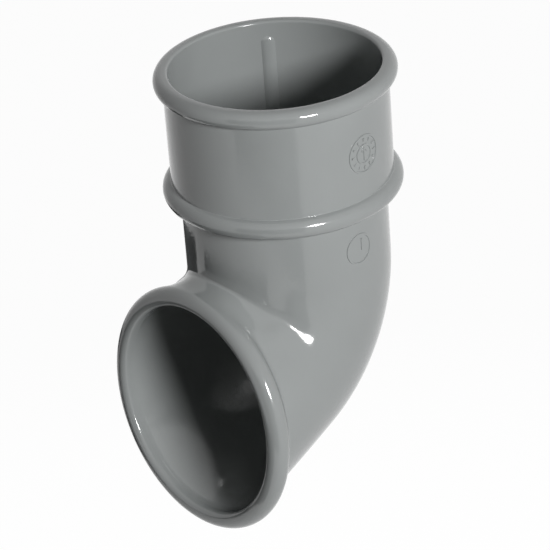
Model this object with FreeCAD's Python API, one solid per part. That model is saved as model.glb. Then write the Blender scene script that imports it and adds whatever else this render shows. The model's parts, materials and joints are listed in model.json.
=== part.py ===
import FreeCAD, Part
import math
import os

# Downpipe shoe: one moulded piece. A round pipe drops into the socket from above and rests on a stop.
# A straight neck carries on below the stop and bends forward to a round outlet with a beaded lip.
# Millimetres. Origin at the middle of the pipe stop, +Z up along the pipe, outlet towards -Y.

# Pipe and socket
PIPE_DIAMETER = 68.0
PIPE_CLEARANCE = 0.3        # all round the pipe, at its seat
SOCKET_DEPTH = 43.4         # from the pipe stop up to the rim
SOCKET_WALL = 2.2
STOP_LEDGE = 1.9            # width of the ledge that the pipe's end rests on
STOP_WEB = 2.3              # from the ledge down to the foot of the base bead
SEAT_LENGTH = 7.0           # close bore above the stop
SEAT_LEAD = 1.6             # taper from the close bore out to the socket's wall
MOUTH_ROUND = 1.1           # inner edge of the rim

# Guide ribs inside the socket
RIB_HEIGHT = 0.8            # from the socket's wall to a rib's crest
RIB_RELIEF = 0.1            # crests stand this far back from the seat
RIB_WIDTH = 4.8
RIB_DROP = 5.6              # from the rim down to a rib's round top
REAR_RIB_TURN = 127.0       # degrees from the outlet's direction round to each rear rib

# Beads round the socket
BEAD_PROUD = 3.0            # both beads beyond the socket's outside
RIM_BEAD_HEIGHT = 6.3
BASE_BEAD_HEIGHT = 6.9

# Neck and bend
NECK_WALL = 2.3
NECK_LENGTH = 26.2          # from the stop down to the start of the bend
THROAT_RADIUS = 6.0         # inside of the bend, where it leaves the neck
LIP_THROAT_RADIUS = 3.7     # inside of the bend, at the outlet
HEEL_RADIUS = 68.5          # outside of the bend

# Outlet
OUTLET_BORE = 73.6
OUTLET_RISE = 3.75          # degrees that the outlet faces upward
LIP_RADIUS = 4.0            # round section of the lip

# Rings and degree of the bend's loft: enough to follow the tight throat
BEND_STEPS = 16
LOFT_DEGREE = 5

# Sizes that follow from these
SEAT_RADIUS = PIPE_DIAMETER / 2 + PIPE_CLEARANCE
RIB_CREST_RADIUS = SEAT_RADIUS + RIB_RELIEF
SOCKET_BORE_RADIUS = RIB_CREST_RADIUS + RIB_HEIGHT
SOCKET_RADIUS = SOCKET_BORE_RADIUS + SOCKET_WALL
BEAD_RADIUS = SOCKET_RADIUS + BEAD_PROUD
NECK_BORE_RADIUS = SEAT_RADIUS - STOP_LEDGE
NECK_RADIUS = NECK_BORE_RADIUS + NECK_WALL
OUTLET_BORE_RADIUS = OUTLET_BORE / 2
OUTLET_RADIUS = OUTLET_BORE_RADIUS + NECK_WALL
BEAD_FOOT = -STOP_WEB
BEND_START = -NECK_LENGTH
RIM_FOOT = SOCKET_DEPTH - RIM_BEAD_HEIGHT

# Side view, as (forward, z), where forward is -Y. The bend turns about a hinge in front of the neck.
HINGE = (NECK_RADIUS + THROAT_RADIUS, BEND_START)
FULL_TURN = math.radians(90 + OUTLET_RISE)


def between(start, end, share):
    return start + (end - start) * share


def smooth_step(share):
    """Eases from 0 to 1, level at both ends."""
    return share * share * (3 - 2 * share)


def along(start, direction, distance):
    return (start[0] + direction[0] * distance, start[1] + direction[1] * distance)


def away_from_hinge(turn):
    """Side-view direction of the bend's plane: level and backward at no turn, down at a quarter."""
    return (-math.cos(turn), -math.sin(turn))


OUTLET_DOWN = away_from_hinge(FULL_TURN)
OUTLET_CENTRE = along(HINGE, OUTLET_DOWN, LIP_THROAT_RADIUS + OUTLET_RADIUS)
OUTLET_FOOT = along(OUTLET_CENTRE, OUTLET_DOWN, OUTLET_RADIUS)
OUTLET_MIDDLE = FreeCAD.Vector(0, -OUTLET_CENTRE[0], OUTLET_CENTRE[1])
OUTLET_DOWNWARD = FreeCAD.Vector(0, -OUTLET_DOWN[0], OUTLET_DOWN[1])
OUTLET_FACING = FreeCAD.Vector(0, OUTLET_DOWN[1], OUTLET_DOWN[0])


def heel_distance(turn):
    """From the hinge to the heel: an arc down from the neck's back, then its tangent to the outlet's foot."""
    centre = (HEEL_RADIUS - NECK_RADIUS, BEND_START)
    to_foot = (OUTLET_FOOT[0] - centre[0], OUTLET_FOOT[1] - centre[1])
    bearing = math.atan2(to_foot[1], to_foot[0]) - math.acos(HEEL_RADIUS / math.hypot(*to_foot))
    normal = (math.cos(bearing), math.sin(bearing))
    arc_end = along(centre, normal, HEEL_RADIUS)
    arc_end_turn = math.atan2(HINGE[1] - arc_end[1], HINGE[0] - arc_end[0])
    direction = away_from_hinge(turn)
    offset = centre[0] - HINGE[0]
    if turn < arc_end_turn:
        return offset * direction[0] + math.sqrt(HEEL_RADIUS ** 2 - (offset * direction[1]) ** 2)
    facing = direction[0] * normal[0] + direction[1] * normal[1]
    return (HEEL_RADIUS + offset * normal[0]) / facing


def bend_ring(share, inset):
    """Elliptical ring of the bend's wall, from the neck at 0 to the outlet at 1, moved in by inset."""
    turn = share * FULL_TURN
    eased = smooth_step(share)
    throat = between(THROAT_RADIUS, LIP_THROAT_RADIUS, eased) + inset
    heel = heel_distance(turn) - inset
    half_width = between(NECK_RADIUS, OUTLET_RADIUS, eased) - inset
    half_height = (heel - throat) / 2
    down = away_from_hinge(turn)
    middle = along(HINGE, down, (heel + throat) / 2)
    from_unit_circle = FreeCAD.Matrix(
        0, half_width, 0, 0,
        -down[0] * half_height, 0, -down[1], -middle[0],
        down[1] * half_height, 0, -down[0], middle[1],
        0, 0, 0, 1,
    )
    unit_circle = Part.Circle(FreeCAD.Vector(0, 0, 0), FreeCAD.Vector(0, 0, 1), 1)
    return Part.Wire(unit_circle.toShape().transformGeometry(from_unit_circle))


def bend(inset):
    rings = [bend_ring(step / BEND_STEPS, inset) for step in range(BEND_STEPS + 1)]
    return Part.makeLoft(rings, True, False, False, LOFT_DEGREE)


def at(radius, z):
    """Point of a section that is revolved about Z, drawn at the back."""
    return FreeCAD.Vector(0, radius, z)


def revolved(*path):
    """Solid of revolution. The section runs through points, and a pair of points ends an arc."""
    edges = []
    here = path[0]
    for piece in path[1:] + (path[0],):
        if isinstance(piece, tuple):
            middle, end = piece
            edges.append(Part.Arc(here, middle, end).toShape())
        else:
            end = piece
            edges.append(Part.LineSegment(here, end).toShape())
        here = end
    section = Part.Face(Part.Wire(edges))
    return section.revolve(FreeCAD.Vector(0, 0, 0), FreeCAD.Vector(0, 0, 1), 360)


def quarter_round(bore, edge_z, radius):
    """Arc of a section from a bore out to a flat face at edge_z: the arc's middle and its end."""
    step = radius * (1 - math.sqrt(0.5))
    return at(bore + step, edge_z - step), at(bore + radius, edge_z)


def disc(radius, foot, top):
    return revolved(at(0, foot), at(radius, foot), at(radius, top), at(0, top))


def bead(foot, height):
    """Disc with a round nose: what shows of it is a bead round the socket."""
    root = BEAD_RADIUS - height / 2
    nose = (at(BEAD_RADIUS, foot + height / 2), at(root, foot + height))
    return revolved(at(0, foot), at(root, foot), nose, at(0, foot + height))


def at_outlet(solid):
    """Moves a solid made about Z to the outlet: +Z out through the lip, +Y down to the outlet's foot."""
    placed = solid.copy()
    across = OUTLET_DOWNWARD.cross(OUTLET_FACING)
    facing = FreeCAD.Rotation(across, OUTLET_DOWNWARD, OUTLET_FACING, "ZYX")
    placed.Placement = FreeCAD.Placement(OUTLET_MIDDLE, facing).multiply(placed.Placement)
    return placed


def lip():
    ring = Part.makeTorus(OUTLET_RADIUS, LIP_RADIUS)
    ring.rotate(FreeCAD.Vector(0, 0, 0), FreeCAD.Vector(0, 0, 1), 90)
    return at_outlet(ring)


def outside():
    """The shoe without its hollow."""
    neck = disc(NECK_RADIUS, BEND_START, 0)
    base_bead = bead(BEAD_FOOT, BASE_BEAD_HEIGHT)
    socket = disc(SOCKET_RADIUS, 0, RIM_FOOT + RIM_BEAD_HEIGHT / 2)
    rim_bead = bead(RIM_FOOT, RIM_BEAD_HEIGHT)
    return neck.multiFuse([base_bead, socket, rim_bead, bend(0), lip()])


def socket_void():
    """What the pipe and the water fill, from the start of the bend up through the rim."""
    open_end = SOCKET_DEPTH + MOUTH_ROUND
    return revolved(
        at(0, BEND_START),
        at(NECK_BORE_RADIUS, BEND_START),
        at(NECK_BORE_RADIUS, 0),
        at(SEAT_RADIUS, 0),
        at(SEAT_RADIUS, SEAT_LENGTH),
        at(SOCKET_BORE_RADIUS, SEAT_LENGTH + SEAT_LEAD),
        at(SOCKET_BORE_RADIUS, SOCKET_DEPTH - MOUTH_ROUND),
        quarter_round(SOCKET_BORE_RADIUS, SOCKET_DEPTH, MOUTH_ROUND),
        at(SOCKET_BORE_RADIUS + MOUTH_ROUND, open_end),
        at(0, open_end),
    )


def outlet_void():
    """Straight mouth of the outlet, opening in a quarter round to the front of the lip."""
    open_end = LIP_RADIUS + NECK_WALL
    return at_outlet(revolved(
        at(0, 0),
        at(OUTLET_BORE_RADIUS, 0),
        at(OUTLET_BORE_RADIUS, LIP_RADIUS - NECK_WALL),
        quarter_round(OUTLET_BORE_RADIUS, LIP_RADIUS, NECK_WALL),
        at(OUTLET_RADIUS, open_end),
        at(0, open_end),
    ))


def rib(turn):
    """Half-round rib down the socket's wall, with a ball top, at a turn in degrees from the outlet."""
    half_width = RIB_WIDTH / 2
    rise = math.sqrt(SOCKET_BORE_RADIUS ** 2 - half_width ** 2) - RIB_CREST_RADIUS
    section_radius = (rise ** 2 + half_width ** 2) / (2 * rise)
    ball_z = SOCKET_DEPTH - RIB_DROP - half_width
    stem = Part.makeCylinder(section_radius, ball_z - SEAT_LENGTH, FreeCAD.Vector(0, 0, SEAT_LENGTH))
    ball = Part.makeSphere(section_radius, FreeCAD.Vector(0, 0, ball_z))
    bar = stem.fuse(ball)
    bar.translate(FreeCAD.Vector(0, -RIB_CREST_RADIUS - section_radius, 0))
    bar.rotate(FreeCAD.Vector(0, 0, 0), FreeCAD.Vector(0, 0, 1), turn)
    return bar.common(disc(SOCKET_BORE_RADIUS + SOCKET_WALL / 2, 0, SOCKET_DEPTH))


def downpipe_shoe():
    void = socket_void().multiFuse([bend(NECK_WALL), outlet_void()])
    ribs = [rib(turn) for turn in (0, REAR_RIB_TURN, -REAR_RIB_TURN)]
    return outside().cut(void).multiFuse(ribs).removeSplitter().Solids[0]


os.makedirs("parts", exist_ok=True)
shoe = downpipe_shoe()
shoe.exportStep("parts/downpipe_shoe.step")
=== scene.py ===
import json
import math

import bpy
import numpy as np
from mathutils import Matrix, Vector


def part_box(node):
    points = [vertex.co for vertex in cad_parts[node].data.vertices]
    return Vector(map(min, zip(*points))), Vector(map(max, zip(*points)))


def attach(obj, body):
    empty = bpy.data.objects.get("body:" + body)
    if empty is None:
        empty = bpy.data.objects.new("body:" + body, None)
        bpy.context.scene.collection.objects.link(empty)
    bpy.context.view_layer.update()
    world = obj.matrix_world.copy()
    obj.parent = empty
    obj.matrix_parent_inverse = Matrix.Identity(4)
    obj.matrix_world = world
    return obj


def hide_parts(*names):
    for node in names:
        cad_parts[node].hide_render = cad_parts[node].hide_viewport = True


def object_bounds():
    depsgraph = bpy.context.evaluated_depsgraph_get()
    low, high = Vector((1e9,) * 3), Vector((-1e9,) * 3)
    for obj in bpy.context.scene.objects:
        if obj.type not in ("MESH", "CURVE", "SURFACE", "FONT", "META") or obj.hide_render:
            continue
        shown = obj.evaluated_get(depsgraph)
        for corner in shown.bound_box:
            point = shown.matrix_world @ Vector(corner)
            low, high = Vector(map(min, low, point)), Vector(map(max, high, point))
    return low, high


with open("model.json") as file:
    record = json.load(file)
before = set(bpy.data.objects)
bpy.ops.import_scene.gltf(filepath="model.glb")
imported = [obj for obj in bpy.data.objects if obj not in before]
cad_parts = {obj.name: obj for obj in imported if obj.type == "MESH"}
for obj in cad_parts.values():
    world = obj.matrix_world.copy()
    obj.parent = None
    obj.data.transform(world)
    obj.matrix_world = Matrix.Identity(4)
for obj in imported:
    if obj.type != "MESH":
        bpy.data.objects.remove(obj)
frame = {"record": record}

# Downpipe shoe of grey moulded plastic
# A beaded socket, a short neck, a bend and a flared outlet with a round lip, drawn in
# millimetres in the frame's own axes: +Z up along the pipe, outlet towards -Y.
MM = 0.001
CAD_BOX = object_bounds()
CAD_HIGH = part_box("downpipe_shoe")[1] / MM
MOUNTS = {mount["name"]: mount for mount in frame["record"]["mounts"]}
PIPE_SEAT = MOUNTS["socket"]["dims"]

# Socket, from the frame's own widest and highest points
RIM_TOP = CAD_HIGH.z
BEAD_RADIUS = CAD_HIGH.y
BEAD_PROUD = 3.0
RIM_BEAD_HEIGHT = 6.3
BASE_BEAD_HEIGHT = 6.9
BEAD_CREASE = 0.25          # hollow round where a bead meets a wall
SOCKET_RADIUS = BEAD_RADIUS - BEAD_PROUD
SOCKET_WALL = 2.2
SOCKET_BORE = SOCKET_RADIUS - SOCKET_WALL
MOUTH_ROUND = 1.1           # inner edge of the rim
SEAT_RADIUS = PIPE_SEAT["r_mm"]
SEAT_LENGTH = PIPE_SEAT["length_mm"]
SEAT_LEAD = 1.6             # taper from the close seat out to the socket's wall
STOP_LEDGE = 1.9            # ledge that the pipe's end rests on
STOP_EDGE = 0.5             # soft inner edge of the ledge
STOP_WEB = 2.3              # from the ledge down to the foot of the base bead

# Guide ribs down the socket's wall
RIB_CREST = SEAT_RADIUS + 0.1
RIB_WIDTH = 4.8
RIB_DROP = 5.6              # from the rim down to a rib's round top
RIB_SINK = 1.15             # a rib's round runs on into the wall, to this many times what shows
RIB_TURNS = (0.0, 127.0, -127.0)    # degrees from the outlet's direction

# Neck, bend and outlet
WALL = 2.3
NECK_BORE = SEAT_RADIUS - STOP_LEDGE
NECK_RADIUS = NECK_BORE + WALL
NECK_LENGTH = 26.2          # from the pipe stop down to the start of the bend
THROAT_RADIUS = 6.0         # inside of the bend, where it leaves the neck
LIP_THROAT_RADIUS = 3.7     # inside of the bend, at the outlet
HEEL_RADIUS = 68.5          # outside of the bend
OUTLET_RISE = 3.75          # degrees that the outlet faces upward
LIP_RADIUS = 4.0            # round section of the lip
LIP_BLEND = 2.2             # reach of the soft crease behind the lip
LIP_BLEND_HANDLE = 0.4      # pull of that crease's curve at each end
OUTLET_RADIUS = CAD_HIGH.x - LIP_RADIUS
OUTLET_BORE = OUTLET_RADIUS - WALL

# Crease where the collar behind the lip meets the neck, with turns in degrees from the front
NECK_FOOT = -17.0           # the neck is plain down to here
CREASE_TOP = -23.8          # the crease's height at the front
CREASE_ROUND = 0.9          # its hollow at the front
CREASE_SOFT = 8.0           # its hollow where it is lost in the bend's side
CREASE_SOFTENING = 2.5      # power by which the hollow grows from the one to the other
CREASE_FULL = 40.0          # the crease is whole up to this turn
CREASE_GONE = 72.0          # and lost at this one
HOLLOW_LIMIT = 0.6          # most of the way from crease to lip that the hollow takes
SHOULDER_HALF_WIDTH = 42.0  # arch of the crease, seen from the front
SHOULDER_POWER = 1.9

# Collar from the crease to the lip, with angles in degrees on the lip's section, 0 outermost
COLLAR_FRONT_ANGLE = 12.0   # where it meets the lip at the front
COLLAR_SIDE_ANGLE = -48.0   # where it meets the lip at the side turn
COLLAR_SIDE_TURN = 50.0
COLLAR_TURN_LIMIT = 1.3     # that change goes on up to this many side turns
COLLAR_FALL = 6.0           # how far below the lip the collar heads as it leaves the crease
COLLAR_FALL_TURNS = (12.0, 38.0, 52.0)      # turns where that starts, is greatest and ends
COLLAR_HANDLES = (0.33, 0.36)       # pull of its curve at the crease and at the lip

# Places that follow, the hinge and the outlet in side view as (forward, z)
BEAD_FOOT = -STOP_WEB
BEND_START = -NECK_LENGTH
HINGE = np.array((NECK_RADIUS + THROAT_RADIUS, BEND_START))
FULL_TURN = math.radians(90 + OUTLET_RISE)

# Fineness of the mesh
COLUMNS = 256
SOCKET_ROWS, NECK_ROWS = 10, 5
NECK_BORE_ROWS, SOCKET_BORE_ROWS = 6, 8
NECK_FOOT_ROWS, BEND_ROWS = 6, 84
LIP_BLEND_ROWS, LIP_ROWS, LIP_EDGE_ROWS, OUTLET_ROWS = 8, 22, 9, 3
BEAD_STEPS, CREASE_STEPS, STOP_STEPS, MOUTH_STEPS = 16, 4, 4, 6
CORNER_POINTS = 25
RIB_POINTS, RIB_ROWS, RIB_TOP_ROWS = 19, 12, 8
SHARP_EDGE = math.radians(35)       # edges that turn more than this shade as sharp
EDGE_ROW = 0.3              # a row this close to each end of a straight stretch, for clean shading
EDGE_ROW_LIMIT = 0.3        # but no further along than this share of the stretch
SAME_ROW = 1e-4             # rows closer than this are one row
NUDGE = 0.002               # small step that finds a direction on the bend or the lip
LIP_SEARCH_START, LIP_SEARCH_STEPS = 0.5, 600       # shares of the bend searched for the lip


def smooth_step(share):
    return share * share * (3 - 2 * share)


def ramp(values, start, end):
    """0 up to start and 1 from end on, with a smooth rise between."""
    return smooth_step(np.clip((values - start) / (end - start), 0, 1))


def unit(vectors):
    return vectors / np.linalg.norm(vectors, axis=-1, keepdims=True)


def after_start(start, end, steps):
    """Even steps from start to end, without start itself."""
    return np.linspace(start, end, steps + 1)[1:]


def curve(t, start, first_handle, last_handle, end):
    """Cubic curve between two points, shaped by two handles."""
    return ((1 - t) ** 3 * start + 3 * t * (1 - t) ** 2 * first_handle
            + 3 * t ** 2 * (1 - t) * last_handle + t ** 3 * end)


# Sections, as lists of (radius, z)

def arc(centre, radius, start, end, steps):
    """Points of an arc from one angle to another in degrees, where 0 is outward and 90 is up."""
    angles = np.radians(np.linspace(start, end, steps + 1))
    return [(centre[0] + radius * math.cos(a), centre[1] + radius * math.sin(a)) for a in angles]


def straight(start, end, rows=1):
    """Points of a straight stretch, with a row close to each end."""
    start, end = np.array(start), np.array(end)
    length = np.linalg.norm(end - start)
    edge = min(EDGE_ROW / length, EDGE_ROW_LIMIT)
    shares = [0, edge, *np.linspace(edge, 1 - edge, rows + 1)[1:-1], 1 - edge, 1]
    return [tuple(start + (end - start) * share) for share in shares]


def bead_crease(nose, nose_radius, wall_radius, side):
    """Hollow round between a bead's nose and a wall: its centre and its angle on the nose."""
    across = wall_radius + BEAD_CREASE - nose[0]
    up = side * math.sqrt((nose_radius + BEAD_CREASE) ** 2 - across ** 2)
    return (wall_radius + BEAD_CREASE, nose[1] + up), math.degrees(math.atan2(up, across))


def outer_section():
    """From the inner edge of the rim's flat top, over both beads and down the neck to its foot."""
    rim_nose_radius = RIM_BEAD_HEIGHT / 2
    rim_nose = (BEAD_RADIUS - rim_nose_radius, RIM_TOP - rim_nose_radius)
    base_nose_radius = BASE_BEAD_HEIGHT / 2
    base_nose = (BEAD_RADIUS - base_nose_radius, BEAD_FOOT + base_nose_radius)
    under_rim, under_rim_angle = bead_crease(rim_nose, rim_nose_radius, SOCKET_RADIUS, -1)
    over_base, over_base_angle = bead_crease(base_nose, base_nose_radius, SOCKET_RADIUS, 1)
    under_base = (NECK_RADIUS + BEAD_CREASE, BEAD_FOOT - BEAD_CREASE)
    path = straight((SOCKET_BORE + MOUTH_ROUND, RIM_TOP), (rim_nose[0], RIM_TOP))
    path += arc(rim_nose, rim_nose_radius, 90, under_rim_angle, BEAD_STEPS)
    path += arc(under_rim, BEAD_CREASE, under_rim_angle + 180, 180, CREASE_STEPS)
    path += straight((SOCKET_RADIUS, under_rim[1]), (SOCKET_RADIUS, over_base[1]), SOCKET_ROWS)
    path += arc(over_base, BEAD_CREASE, 180, over_base_angle + 180, CREASE_STEPS)
    path += arc(base_nose, base_nose_radius, over_base_angle, -90, BEAD_STEPS)
    path += straight((base_nose[0], BEAD_FOOT), (under_base[0], BEAD_FOOT))
    path += arc(under_base, BEAD_CREASE, 90, 180, CREASE_STEPS)
    path += straight((NECK_RADIUS, under_base[1]), (NECK_RADIUS, NECK_FOOT), NECK_ROWS)
    return path


def inner_section():
    """From the start of the bend up the neck's bore, over the pipe stop and up to the mouth."""
    stop_edge = (NECK_BORE + STOP_EDGE, -STOP_EDGE)
    mouth_edge = (SOCKET_BORE + MOUTH_ROUND, RIM_TOP - MOUTH_ROUND)
    seat_top = (SEAT_RADIUS, SEAT_LENGTH)
    lead_top = (SOCKET_BORE, SEAT_LENGTH + SEAT_LEAD)
    path = straight((NECK_BORE, BEND_START), (NECK_BORE, -STOP_EDGE), NECK_BORE_ROWS)
    path += arc(stop_edge, STOP_EDGE, 180, 90, STOP_STEPS)
    path += straight((stop_edge[0], 0), (SEAT_RADIUS, 0))
    path += straight((SEAT_RADIUS, 0), seat_top)
    path += straight(seat_top, lead_top)
    path += straight(lead_top, (SOCKET_BORE, mouth_edge[1]), SOCKET_BORE_ROWS)
    path += arc(mouth_edge, MOUTH_ROUND, 180, 90, MOUTH_STEPS)
    return path


# Bend and outlet
# A column is an angle round the wall, 0 at the back of the neck and at the outlet's foot.

THETA = np.linspace(0, 2 * math.pi, COLUMNS, endpoint=False)
FROM_FRONT = np.degrees(np.abs(THETA - math.pi))


def ring(radius, z):
    """One row round the pipe's axis."""
    heights = np.broadcast_to(z, COLUMNS)
    return np.stack((radius * np.sin(THETA), radius * np.cos(THETA), heights), axis=1)


def away_from_hinge(turn):
    return np.stack((-np.cos(turn), -np.sin(turn)), axis=-1)


def in_frame(side_view):
    """Side-view points or directions as (x, y, z)."""
    forward, z = side_view[..., 0], side_view[..., 1]
    return np.stack((np.zeros(forward.shape), -forward, z), axis=-1)


OUTLET_DOWN = away_from_hinge(np.array(FULL_TURN))
OUTLET_CENTRE = HINGE + OUTLET_DOWN * (LIP_THROAT_RADIUS + OUTLET_RADIUS)
OUTLET_FOOT = OUTLET_CENTRE + OUTLET_DOWN * OUTLET_RADIUS
MIDDLE = in_frame(OUTLET_CENTRE)
DOWNWARD = in_frame(OUTLET_DOWN)
FACING = np.array((0, OUTLET_DOWN[1], OUTLET_DOWN[0]))
ACROSS = np.array((1.0, 0.0, 0.0))


def heel_distance(turn):
    """From the hinge to the heel: an arc from the neck's back, then a line to the outlet's foot."""
    centre = np.array((HEEL_RADIUS - NECK_RADIUS, BEND_START))
    to_foot = OUTLET_FOOT - centre
    bearing = math.atan2(to_foot[1], to_foot[0]) - math.acos(HEEL_RADIUS / math.hypot(*to_foot))
    normal = np.array((math.cos(bearing), math.sin(bearing)))
    arc_end = centre + normal * HEEL_RADIUS
    arc_end_turn = math.atan2(HINGE[1] - arc_end[1], HINGE[0] - arc_end[0])
    away = away_from_hinge(turn)
    offset = centre[0] - HINGE[0]
    on_arc = offset * away[..., 0] + np.sqrt(HEEL_RADIUS ** 2 - (offset * away[..., 1]) ** 2)
    on_tangent = (HEEL_RADIUS + offset * normal[0]) / (away @ normal)
    return np.where(turn < arc_end_turn, on_arc, on_tangent)


def bend_wall(share, theta, inset):
    """Points of the bend's wall, from the neck at share 0 to the outlet at 1, moved in by inset."""
    turn = share * FULL_TURN
    eased = smooth_step(share)
    throat = THROAT_RADIUS + (LIP_THROAT_RADIUS - THROAT_RADIUS) * eased + inset
    heel = heel_distance(turn) - inset
    half_width = NECK_RADIUS + (OUTLET_RADIUS - NECK_RADIUS) * eased - inset
    half_height = (heel - throat) / 2
    down = away_from_hinge(turn)
    middle = HINGE + down * ((heel + throat) / 2)[..., None]
    return (
        in_frame(middle)
        + in_frame(down) * (half_height * np.cos(theta))[..., None]
        + ACROSS * (half_width * np.sin(theta))[..., None]
    )


def round_outlet(theta, radius, forward):
    """Points about the outlet's axis, forward of its plane."""
    outward = np.cos(theta)[:, None] * DOWNWARD + np.sin(theta)[:, None] * ACROSS
    return MIDDLE + outward * np.reshape(radius, (-1, 1)) + FACING * np.reshape(forward, (-1, 1))


def lip_point(theta, angle):
    """Points of the lip's round section: angle 0 is outermost and a quarter turn is its front."""
    radius = OUTLET_RADIUS + LIP_RADIUS * np.cos(angle)
    return round_outlet(theta, radius, LIP_RADIUS * np.sin(angle))


def lip_heading(theta, angle):
    """Points of the lip's round section, and the way its surface runs there towards its front."""
    here = lip_point(theta, angle)
    return here, unit(lip_point(theta, angle + NUDGE) - here)


def lip_crease():
    """Where each column of the bend runs into the lip: its share, the lip's angle and the turn."""
    shares = np.linspace(LIP_SEARCH_START, 1, LIP_SEARCH_STEPS)
    walls = bend_wall(shares[:, None] + 0 * THETA, THETA + 0 * shares[:, None], 0)
    from_middle = walls - MIDDLE
    forward = from_middle @ FACING
    down, across = from_middle @ DOWNWARD, from_middle @ ACROSS
    proud = np.hypot(down, across) - OUTLET_RADIUS
    inside = np.hypot(proud, forward) < LIP_RADIUS
    first = inside.argmax(axis=0)
    column = np.arange(COLUMNS)
    turn = np.arctan2(across, down)[first, column]
    turn = THETA + (turn - THETA + math.pi) % (2 * math.pi) - math.pi
    return shares[first], np.arctan2(forward, proud)[first, column], turn


def bend_rows(blend_share, blend_angle, lip_turn):
    """Rows from the neck's foot down the bend's outside, blended into the lip."""
    rows = [ring(NECK_RADIUS, z) for z in after_start(NECK_FOOT, BEND_START, NECK_FOOT_ROWS)]
    rows += [bend_wall(blend_share * t, THETA, 0) for t in after_start(0, 1, BEND_ROWS)]
    start = rows[-1]
    start_direction = unit(start - bend_wall(blend_share - NUDGE, THETA, 0))
    end, end_direction = lip_heading(lip_turn, blend_angle)
    handle = LIP_BLEND_HANDLE * np.linalg.norm(end - start, axis=1, keepdims=True)
    first_handle, last_handle = start + start_direction * handle, end - end_direction * handle
    for t in after_start(0, 1, LIP_BLEND_ROWS):
        rows.append(curve(t, start, first_handle, last_handle, end))
    return rows


def rounded_corner(start, corner, aim, end, end_direction, hollow, shares):
    """Paths from start to a rounded corner, off towards aim and on to end, at equal shares."""
    leaving = unit(aim - corner)
    hollow = np.minimum(
        hollow[:, None], np.linalg.norm(end - corner, axis=1, keepdims=True) * HOLLOW_LIMIT)
    first = corner + unit(start - corner) * hollow
    second = corner + leaving * hollow
    t = np.linspace(0, 1, CORNER_POINTS)[:, None, None]
    down = start + (first - start) * t
    turned = (1 - t) ** 2 * first + 2 * t * (1 - t) * corner + t ** 2 * second
    reach = np.linalg.norm(end - second, axis=1, keepdims=True)
    from_corner = second + leaving * reach * COLLAR_HANDLES[0]
    to_lip = end - end_direction * reach * COLLAR_HANDLES[1]
    onward = curve(t, second, from_corner, to_lip, end)
    dense = np.concatenate((down, turned[1:], onward[1:]))
    lengths = np.linalg.norm(np.diff(dense, axis=0), axis=2)
    along = np.vstack((np.zeros(COLUMNS), np.cumsum(lengths, axis=0)))
    along /= along[-1]
    rows = np.empty((len(shares), COLUMNS, 3))
    for column in range(COLUMNS):
        for axis in range(3):
            rows[:, column, axis] = np.interp(shares, along[:, column], dense[:, column, axis])
    return rows


def crease_on_neck():
    """The crease's points on the neck: an arch, seen from the front."""
    across = np.abs(NECK_RADIUS * np.sin(THETA)) / SHOULDER_HALF_WIDTH
    shoulder = np.clip(1 - across ** SHOULDER_POWER, 0, 1) ** (1 / SHOULDER_POWER)
    return ring(NECK_RADIUS, OUTLET_CENTRE[1] + (CREASE_TOP - OUTLET_CENTRE[1]) * shoulder)


def with_collar(rows, blend_angle, lip_turn):
    """The bend's rows with collar and crease, and the turn and angle where they meet the lip."""
    held = 1 - ramp(FROM_FRONT, CREASE_FULL, CREASE_GONE)
    corner = crease_on_neck()
    round_share = np.minimum(FROM_FRONT / COLLAR_SIDE_TURN, COLLAR_TURN_LIMIT) ** 2
    collar_angle = np.radians(
        COLLAR_FRONT_ANGLE + (COLLAR_SIDE_ANGLE - COLLAR_FRONT_ANGLE) * round_share)
    lip_reach = OUTLET_RADIUS + LIP_RADIUS * np.cos(collar_angle)
    collar_turn = math.pi - np.arcsin(np.clip(corner[:, 0] / lip_reach, -1, 1))
    meet_turn = lip_turn + (collar_turn - lip_turn) * held
    meet_angle = blend_angle + (collar_angle - blend_angle) * held
    meet, meet_direction = lip_heading(meet_turn, meet_angle)

    softness = np.clip(FROM_FRONT / CREASE_GONE, 0, 1) ** CREASE_SOFTENING
    hollow = CREASE_ROUND + (CREASE_SOFT - CREASE_ROUND) * softness
    starts, greatest, ends = COLLAR_FALL_TURNS
    falling = ramp(FROM_FRONT, starts, greatest) * ramp(FROM_FRONT, ends, greatest)
    aim = meet - np.outer(falling, (0, 0, COLLAR_FALL))
    foot = ring(NECK_RADIUS, NECK_FOOT)
    shares = after_start(0, 1, len(rows))
    creased = rounded_corner(foot, corner, aim, meet, meet_direction, hollow, shares)

    moved = meet - rows[-1]
    collared = []
    for row, creased_row, share in zip(rows, creased, shares):
        smooth = row + moved * smooth_step(share)
        collared.append(smooth + (creased_row - smooth) * held[:, None])
    return collared, meet_turn, meet_angle


def lip_rows(meet_turn, meet_angle):
    """Rows over the lip to its front, round its inner edge and back into the outlet's bore."""
    rows = []
    for t in after_start(0, 1, LIP_ROWS):
        turn = meet_turn + (THETA - meet_turn) * smooth_step(t)
        rows.append(lip_point(turn, meet_angle + (math.pi / 2 - meet_angle) * t))
    for angle in after_start(math.pi / 2, math.pi, LIP_EDGE_ROWS):
        radius = OUTLET_RADIUS + WALL * math.cos(angle)
        rows.append(round_outlet(THETA, radius, LIP_RADIUS - WALL + WALL * math.sin(angle)))
    for forward in after_start(LIP_RADIUS - WALL, 0, OUTLET_ROWS):
        rows.append(round_outlet(THETA, OUTLET_BORE, forward))
    return rows


def outlet_rows():
    """Rows of the outside from the neck's foot, over the lip and just into the outlet's bore."""
    crease_share, crease_angle, lip_turn = lip_crease()
    before = bend_wall(crease_share - NUDGE, THETA, 0)
    speed = np.linalg.norm(bend_wall(crease_share, THETA, 0) - before, axis=1) / NUDGE
    blend_angle = crease_angle + LIP_BLEND / LIP_RADIUS
    plain = bend_rows(crease_share - LIP_BLEND / speed, blend_angle, lip_turn)
    collared, meet_turn, meet_angle = with_collar(plain, blend_angle, lip_turn)
    return collared + lip_rows(meet_turn, meet_angle)


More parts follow.
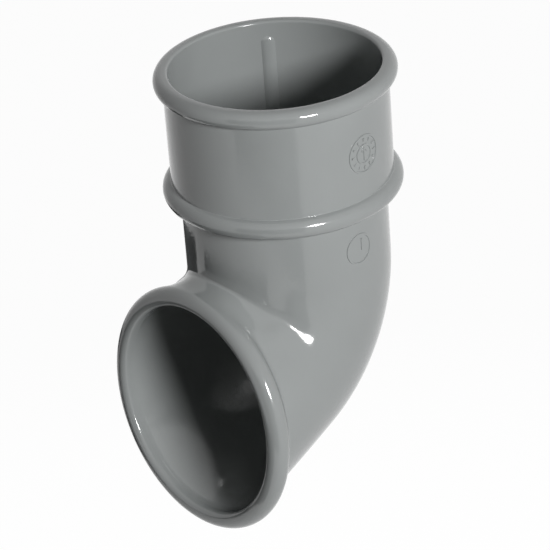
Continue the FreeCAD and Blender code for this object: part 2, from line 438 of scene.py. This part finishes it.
def skin(rows, closed_rows=False, closed_columns=False):
    """Points and faces of a grid of rows."""
    count, width = len(rows), len(rows[0])
    faces = []
    for i in range(count if closed_rows else count - 1):
        for j in range(width if closed_columns else width - 1):
            here, after = i * width, (i + 1) % count * width
            beside = (j + 1) % width
            faces.append((here + j, here + beside, after + beside, after + j))
    return np.concatenate(rows), faces


def end_caps(count, width, along_columns=False):
    """Faces over the two open ends of a tube-shaped skin."""
    grid = np.arange(count * width).reshape(count, width)
    first, last = (grid[:, 0], grid[::-1, -1]) if along_columns else (grid[0, ::-1], grid[-1])
    return [tuple(first.tolist()), tuple(last.tolist())]


def moulded_wall():
    """The whole wall, one closed skin from the rim down the outside and back up the inside."""
    rows = [ring(*point) for point in outer_section()]
    rows += outlet_rows()
    for share in after_start(1, 0, BEND_ROWS)[:-1]:
        rows.append(bend_wall(np.full(COLUMNS, share), THETA, WALL))
    rows += [ring(*point) for point in inner_section()]
    kept = [rows[0]]
    for row in rows[1:]:
        if np.abs(row - kept[-1]).max() > SAME_ROW:
            kept.append(row)
    if np.abs(kept[-1] - kept[0]).max() < SAME_ROW:
        kept.pop()
    return skin(kept, closed_rows=True, closed_columns=True)


def guide_rib(turn):
    """Half-round rib down the socket's wall, with a ball top, at a turn from the outlet."""
    half_width = RIB_WIDTH / 2
    rise = math.sqrt(SOCKET_BORE ** 2 - half_width ** 2) - RIB_CREST
    section_radius = (rise ** 2 + half_width ** 2) / (2 * rise)
    ball_z = RIM_TOP - RIB_DROP - half_width
    spread = math.asin(half_width / section_radius) * RIB_SINK
    around = np.linspace(-spread, spread, RIB_POINTS)
    tilts = [(z, 0.0) for z in np.linspace(SEAT_LENGTH, ball_z, RIB_ROWS)]
    tilts += [(ball_z, tilt) for tilt in after_start(0, spread, RIB_TOP_ROWS)]
    rows = []
    for z, tilt in tilts:
        across = section_radius * np.sin(around) * math.cos(tilt)
        inward = section_radius * np.cos(around) * math.cos(tilt)
        radius = RIB_CREST + section_radius - inward
        height = np.full(len(around), z + section_radius * math.sin(tilt))
        rows.append(np.stack((across, -radius, height), axis=1))
    points, faces = skin(rows, closed_columns=True)
    faces += end_caps(len(rows), len(around))
    sine, cosine = math.sin(math.radians(turn)), math.cos(math.radians(turn))
    spin = np.array(((cosine, -sine, 0), (sine, cosine, 0), (0, 0, 1)))
    return points @ spin.T, faces


# Raised mould marks: plain rings, ticks and bars, with no letters

MARK_HEIGHT = 0.3
MARK_SINK = 0.1             # foot of a raised line, inside the wall
MARK_LINE = 0.7             # width of a raised line at its foot
MARK_FLAT = 0.72            # its flat top, as a share of that width
MARK_SECTION = (
    (0.5, -MARK_SINK), (MARK_FLAT / 2, MARK_HEIGHT),
    (-MARK_FLAT / 2, MARK_HEIGHT), (-0.5, -MARK_SINK))
CIRCLE_POINTS, TICK_POINTS = 72, 4
DATE_DIAL_PLACE = (6.0, 20.7)       # degrees round from +X towards +Y, and z
DATE_DIAL_RADIUS = 6.4
DATE_DIAL_TICKS = 12

# Parts of the dial as shares of its radius, and of its arrow as shares of the arrow's own
DIAL_INNER_RING = 0.5
DIAL_TICK_FROM, DIAL_TICK_TO = 0.68, 0.86
DIAL_ARROW = 0.36
ARROW_BARB_ACROSS, ARROW_BARB_UP = 0.5, 0.4

NECK_RING_PLACE = (2.6, -14.1)
NECK_RING_RADIUS = 5.2
NECK_BAR = ((1.1, -0.7), (1.1, 1.4), (1.1, 3.5))


def raised_line(wall_radius, place, path, closed):
    """Flat-topped ridge along a path in (across, up) millimetres about a place on a round wall."""
    path = np.array(path, float)
    if closed:
        after, before = np.roll(path, -1, axis=0), np.roll(path, 1, axis=0)
    else:
        after = np.vstack((path[1:], 2 * path[-1] - path[-2]))
        before = np.vstack((2 * path[0] - path[1], path[:-1]))
    forward = unit(after - before)
    aside = np.stack((-forward[:, 1], forward[:, 0]), axis=1)
    rows = []
    for offset, height in MARK_SECTION:
        flat = path + aside * offset * MARK_LINE
        angle = math.radians(place[0]) + flat[:, 0] / wall_radius
        radius = wall_radius + height
        z = place[1] + flat[:, 1]
        rows.append(np.stack((radius * np.cos(angle), radius * np.sin(angle), z), axis=1))
    points, faces = skin(rows, closed_rows=True, closed_columns=closed)
    if not closed:
        faces += end_caps(len(rows), len(path), along_columns=True)
    return points, faces


def circle_path(radius):
    angles = np.linspace(0, 2 * math.pi, CIRCLE_POINTS, endpoint=False)
    return [(radius * math.cos(a), radius * math.sin(a)) for a in angles]


def tick_path(angle):
    inner, outer = DATE_DIAL_RADIUS * DIAL_TICK_FROM, DATE_DIAL_RADIUS * DIAL_TICK_TO
    reaches = np.linspace(inner, outer, TICK_POINTS)
    return [(reach * math.cos(angle), reach * math.sin(angle)) for reach in reaches]


def mould_marks():
    """A date dial with ticks and an arrow on the socket, and a ring with a bar on the neck."""
    rings = [circle_path(DATE_DIAL_RADIUS), circle_path(DATE_DIAL_RADIUS * DIAL_INNER_RING)]
    ticks = [tick_path(2 * math.pi * tick / DATE_DIAL_TICKS) for tick in range(DATE_DIAL_TICKS)]
    tip = DATE_DIAL_RADIUS * DIAL_ARROW
    barb_across, barb_up = tip * ARROW_BARB_ACROSS, tip * ARROW_BARB_UP
    shaft = [(0, -tip), (0, 0), (0, tip)]
    barbs = [(-barb_across, barb_up), (0, tip), (barb_across, barb_up)]
    marks = [raised_line(SOCKET_RADIUS, DATE_DIAL_PLACE, path, True) for path in rings]
    for path in (*ticks, shaft, barbs):
        marks.append(raised_line(SOCKET_RADIUS, DATE_DIAL_PLACE, path, False))
    marks.append(raised_line(NECK_RADIUS, NECK_RING_PLACE, circle_path(NECK_RING_RADIUS), True))
    marks.append(raised_line(NECK_RADIUS, NECK_RING_PLACE, NECK_BAR, False))
    return marks


def moulding(name, skins):
    """One mesh object of several skins, with smooth shading, in metres."""
    points, faces, count = [], [], 0
    for skin_points, skin_faces in skins:
        points.append(skin_points * MM)
        faces += [tuple(corner + count for corner in face) for face in skin_faces]
        count += len(skin_points)
    mesh = bpy.data.meshes.new(name)
    mesh.from_pydata(np.concatenate(points).tolist(), [], faces)
    mesh.shade_smooth()
    mesh.set_sharp_from_angle(angle=SHARP_EDGE)
    mesh.update()
    piece = bpy.data.objects.new(name, mesh)
    bpy.context.scene.collection.objects.link(piece)
    return piece


# Materials

SKIN_INPUTS = {
    "Vector": "NodeSocketVector", "Colour": "NodeSocketColor", "Cloud Scale": "NodeSocketFloat",
    "Grain Scale": "NodeSocketFloat", "Roughness": "NodeSocketFloat"}
SKIN_OUTPUTS = {
    "Colour": "NodeSocketColor", "Roughness": "NodeSocketFloat", "Height": "NodeSocketFloat"}
WHITE = (1, 1, 1, 1)
FLOOR_WHITENESS = 0.97      # the rest of the floor's look is its own shade, with the shadow


def add(nodes, kind, **inputs):
    """A node with its unlinked inputs set by name."""
    node = nodes.new(kind)
    for name, value in inputs.items():
        node.inputs[name.replace("_", " ")].default_value = value
    return node


def of_two(nodes, links, operation, first, second):
    """The sum, or the larger, of two outputs."""
    node = nodes.new("ShaderNodeMath")
    node.operation = operation
    links.new(first, node.inputs[0])
    links.new(second, node.inputs[1])
    return node.outputs["Value"]


def moulded_skin_group():
    """Faint flow clouds and a fine grain of moulded plastic, as tone, roughness and height."""
    group = bpy.data.node_groups.new("Moulded skin", "ShaderNodeTree")
    for name, kind in SKIN_INPUTS.items():
        group.interface.new_socket(name=name, in_out="INPUT", socket_type=kind)
    for name, kind in SKIN_OUTPUTS.items():
        group.interface.new_socket(name=name, in_out="OUTPUT", socket_type=kind)
    nodes, links = group.nodes, group.links
    given, made = nodes.new("NodeGroupInput"), nodes.new("NodeGroupOutput")
    clouds = add(nodes, "ShaderNodeTexNoise", Detail=3.0, Roughness=0.5)
    links.new(given.outputs["Vector"], clouds.inputs["Vector"])
    links.new(given.outputs["Cloud Scale"], clouds.inputs["Scale"])
    tone = add(nodes, "ShaderNodeMapRange", From_Min=0.3, From_Max=0.7, To_Min=0.965, To_Max=1.035)
    links.new(clouds.outputs["Fac"], tone.inputs["Value"])
    tint = nodes.new("ShaderNodeVectorMath")
    tint.operation = "SCALE"
    links.new(given.outputs["Colour"], tint.inputs[0])
    links.new(tone.outputs["Result"], tint.inputs["Scale"])
    links.new(tint.outputs["Vector"], made.inputs["Colour"])
    grain = add(nodes, "ShaderNodeTexNoise", Detail=2.0, Roughness=0.55)
    links.new(given.outputs["Vector"], grain.inputs["Vector"])
    links.new(given.outputs["Grain Scale"], grain.inputs["Scale"])
    links.new(grain.outputs["Fac"], made.inputs["Height"])
    rub = add(nodes, "ShaderNodeMapRange", From_Min=0.35, From_Max=0.75, To_Min=-0.03, To_Max=0.06)
    links.new(clouds.outputs["Fac"], rub.inputs["Value"])
    rough = of_two(nodes, links, "ADD", given.outputs["Roughness"], rub.outputs["Result"])
    links.new(rough, made.inputs["Roughness"])
    return group


def with_skin(name, skin_group, colour, cloud_scale, grain_scale, roughness):
    """A material whose tone and roughness vary, with its surface node and its skin node."""
    material = bpy.data.materials.new(name)
    material.use_nodes = True
    nodes, links = material.node_tree.nodes, material.node_tree.links
    surface = nodes["Principled BSDF"]
    place = nodes.new("ShaderNodeTexCoord")
    coat = nodes.new("ShaderNodeGroup")
    coat.node_tree = skin_group
    coat.inputs["Colour"].default_value = (*colour, 1)
    coat.inputs["Cloud Scale"].default_value = cloud_scale
    coat.inputs["Grain Scale"].default_value = grain_scale
    coat.inputs["Roughness"].default_value = roughness
    links.new(place.outputs["Object"], coat.inputs["Vector"])
    links.new(coat.outputs["Colour"], surface.inputs["Base Color"])
    links.new(coat.outputs["Roughness"], surface.inputs["Roughness"])
    return material, surface, coat


def grey_plastic(skin_group):
    material, surface, coat = with_skin(
        "grey_plastic", skin_group, colour=(0.335, 0.352, 0.350),
        cloud_scale=28, grain_scale=900, roughness=0.1)
    nodes, links = material.node_tree.nodes, material.node_tree.links
    surface.inputs["IOR"].default_value = 1.5
    grain = add(nodes, "ShaderNodeBump", Strength=0.05, Distance=0.0004)
    links.new(coat.outputs["Height"], grain.inputs["Height"])
    links.new(grain.outputs["Normal"], surface.inputs["Normal"])
    return material


# Near-black of the card and the sheets: painted dark reflection and painted shadow, seen only in
# the shoe's gloss and bounce light
def dark_paper(skin_group):
    material, _, _ = with_skin(
        "dark_paper", skin_group, colour=(0.02, 0.02, 0.02),
        cloud_scale=20, grain_scale=600, roughness=0.85)
    return material


def seen_directly(nodes, links):
    """1 for what the camera sees, also in gloss and through glass, and 0 for other light."""
    path = nodes.new("ShaderNodeLightPath")
    seen = of_two(
        nodes, links, "MAXIMUM", path.outputs["Is Camera Ray"], path.outputs["Is Glossy Ray"])
    return of_two(nodes, links, "MAXIMUM", seen, path.outputs["Is Transmission Ray"])


def pale_floor(skin_group):
    material, surface, _ = with_skin(
        "pale_floor", skin_group, colour=(0.9, 0.9, 0.9),
        cloud_scale=1.5, grain_scale=200, roughness=0.85)
    nodes, links = material.node_tree.nodes, material.node_tree.links
    white = add(nodes, "ShaderNodeEmission", Color=WHITE, Strength=1.0)
    mix = nodes.new("ShaderNodeMixShader")
    shown = nodes.new("ShaderNodeMath")
    shown.operation = "MULTIPLY"
    shown.inputs[1].default_value = FLOOR_WHITENESS
    links.new(seen_directly(nodes, links), shown.inputs[0])
    links.new(shown.outputs["Value"], mix.inputs["Fac"])
    links.new(surface.outputs["BSDF"], mix.inputs[1])
    links.new(white.outputs["Emission"], mix.inputs[2])
    links.new(mix.outputs["Shader"], nodes["Material Output"].inputs["Surface"])
    return material


# Studio, in metres, with turns in degrees: 0 is in front of the outlet, 90 is at +X

FLOOR_DROP = 0.6            # floor below the outlet: the shoe hangs on its pipe
FLOOR_HALF_WIDTH = 12.0
STUDIO_LEVEL = 0.006        # soft light from all round

# Dark card round the front, a painted dark reflection of a darker room, and dark sheets of painted
# shadow, as turns from and to, then reach from and to
CARD_REACH, CARD_TOP = 0.62, 0.2
CARD_LEFT, CARD_LEFT_FOOT = 5.0, -0.25
CARD_RIGHT, CARD_RIGHT_FOOT = 66.0, -0.36
CARD_POINTS = 33
PAINTED_SHADOW_SHEETS = ((-51.0, 26.0, 0.075, 0.21), (-112.0, -67.0, 0.155, 0.215))
SHEET_POINTS = 25

# Softboxes: name, turn, height in degrees, distance, size, power, and whether the gloss shows it
SOFTBOXES = (
    ("key", 77.6, 24.0, 1.0, 0.24, 8.3, True),
    ("side", -100.0, -3.0, 1.1, 0.8, 3.8, False),
    ("back", 222.0, 6.0, 1.1, 0.8, 10.0, False),
)
SOFTBOX_AIM = Vector((0, 0, -0.03))


def studio_world():
    """White behind the shoe and in its gloss, faint soft light otherwise."""
    world = bpy.data.worlds.new("studio")
    bpy.context.scene.world = world
    world.use_nodes = True
    nodes, links = world.node_tree.nodes, world.node_tree.links
    soft = nodes["Background"]
    soft.inputs["Color"].default_value = WHITE
    soft.inputs["Strength"].default_value = STUDIO_LEVEL
    white = add(nodes, "ShaderNodeBackground", Color=WHITE, Strength=1.0)
    mix = nodes.new("ShaderNodeMixShader")
    links.new(seen_directly(nodes, links), mix.inputs["Fac"])
    links.new(soft.outputs["Background"], mix.inputs[1])
    links.new(white.outputs["Background"], mix.inputs[2])
    links.new(mix.outputs["Shader"], nodes["World Output"].inputs["Surface"])


def direction(turn, height):
    """Unit vector from the shoe towards a turn and a height in degrees."""
    around, up = math.radians(turn), math.radians(height)
    return Vector((
        math.sin(around) * math.cos(up), -math.cos(around) * math.cos(up), math.sin(up)))


def softbox(name, turn, height, distance, size, power, glossy):
    lamp = bpy.data.lights.new(name, "AREA")
    lamp.shape = "DISK"
    lamp.size = size
    lamp.energy = power
    box = bpy.data.objects.new(name, lamp)
    towards = direction(turn, height)
    box.location = SOFTBOX_AIM + towards * distance
    box.rotation_mode = "QUATERNION"
    box.rotation_quaternion = towards.to_track_quat("Z", "Y")
    box.visible_glossy = glossy
    bpy.context.scene.collection.objects.link(box)


def floor(material):
    mesh = bpy.data.meshes.new("floor")
    half, z = FLOOR_HALF_WIDTH, CAD_BOX[0].z - FLOOR_DROP
    corners = [(-half, -half, z), (half, -half, z), (half, half, z), (-half, half, z)]
    mesh.from_pydata(corners, [], [(0, 1, 2, 3)])
    plane = bpy.data.objects.new("floor", mesh)
    plane.data.materials.append(material)
    bpy.context.scene.collection.objects.link(plane)


def dark_card(material):
    """Curved card that only the shoe's gloss sees: a painted dark reflection, for a darker room
    behind the camera.
    """
    # painted dark reflection: the card darkens what the gloss shows from the front
    turns = np.linspace(CARD_LEFT, CARD_RIGHT, CARD_POINTS)
    feet = np.linspace(CARD_LEFT_FOOT, CARD_RIGHT_FOOT, CARD_POINTS)
    tops = np.full(CARD_POINTS, CARD_TOP)
    edge = np.array([direction(turn, 0) * CARD_REACH for turn in turns])
    rows = [(edge + np.outer(heights, (0, 0, 1))) / MM for heights in (feet, tops)]
    card = moulding("dark_card", [skin(rows)])
    card.data.materials.append(material)
    card.visible_camera = False


def dark_sheets(material):
    """Two fans of painted shadow, low in front and at the left: the shoe's shade on a table,
    painted dark, in its gloss.
    """
    fans = []
    # painted shadow: each fan lies where the shoe's shadow would fall on a table
    for first, last, near, far in PAINTED_SHADOW_SHEETS:
        edge = np.array([direction(turn, 0) for turn in np.linspace(first, last, SHEET_POINTS)])
        fans.append(skin([(edge * reach + (0, 0, CAD_BOX[0].z)) / MM for reach in (near, far)]))
    sheets = moulding("dark_sheets", fans)
    sheets.data.materials.append(material)
    sheets.visible_camera = False


# Camera, fitted to the outlines in the photograph

CAMERA_TURN, CAMERA_HEIGHT, CAMERA_DISTANCE = 50.383, 26.46, 0.9696
CAMERA_ROLL, CAMERA_TILT, CAMERA_SWING = 4.346, 1.716, -0.305
CAMERA_LENS = 189.27
CAMERA_NEAR, CAMERA_FAR = 0.05, 20


def camera():
    back = direction(CAMERA_TURN, CAMERA_HEIGHT)
    turn = math.radians(CAMERA_TURN)
    right = Vector((math.cos(turn), math.sin(turn), 0))
    level = Matrix((right, back.cross(right), back))
    aimed = (
        Matrix.Rotation(math.radians(CAMERA_ROLL), 3, "Z")
        @ Matrix.Rotation(math.radians(CAMERA_TILT), 3, "X")
        @ Matrix.Rotation(math.radians(CAMERA_SWING), 3, "Y")
        @ level
    )
    lens = bpy.data.cameras.new("camera")
    lens.lens = CAMERA_LENS
    lens.clip_start, lens.clip_end = CAMERA_NEAR, CAMERA_FAR
    view = bpy.data.objects.new("camera", lens)
    place = Vector((0, 0, BEAD_FOOT * MM)) + back * CAMERA_DISTANCE
    view.matrix_world = Matrix.Translation(place) @ aimed.transposed().to_4x4()
    bpy.context.scene.collection.objects.link(view)
    bpy.context.scene.camera = view


skin_group = moulded_skin_group()
ribs = [guide_rib(turn) for turn in RIB_TURNS]
shoe = moulding("shoe_moulding", [moulded_wall(), *ribs, *mould_marks()])
shoe.data.materials.append(grey_plastic(skin_group))
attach(shoe, "root")
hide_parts("downpipe_shoe")

floor(pale_floor(skin_group))
# Painted shade: a near-black card and sheets, seen in the shoe's gloss as a darker room and as its
# own shadow on a table
painted_shade_material = dark_paper(skin_group)
dark_card(painted_shade_material)
dark_sheets(painted_shade_material)
studio_world()
for box in SOFTBOXES:
    softbox(*box)
camera()
bpy.context.scene.view_settings.view_transform = "Standard"
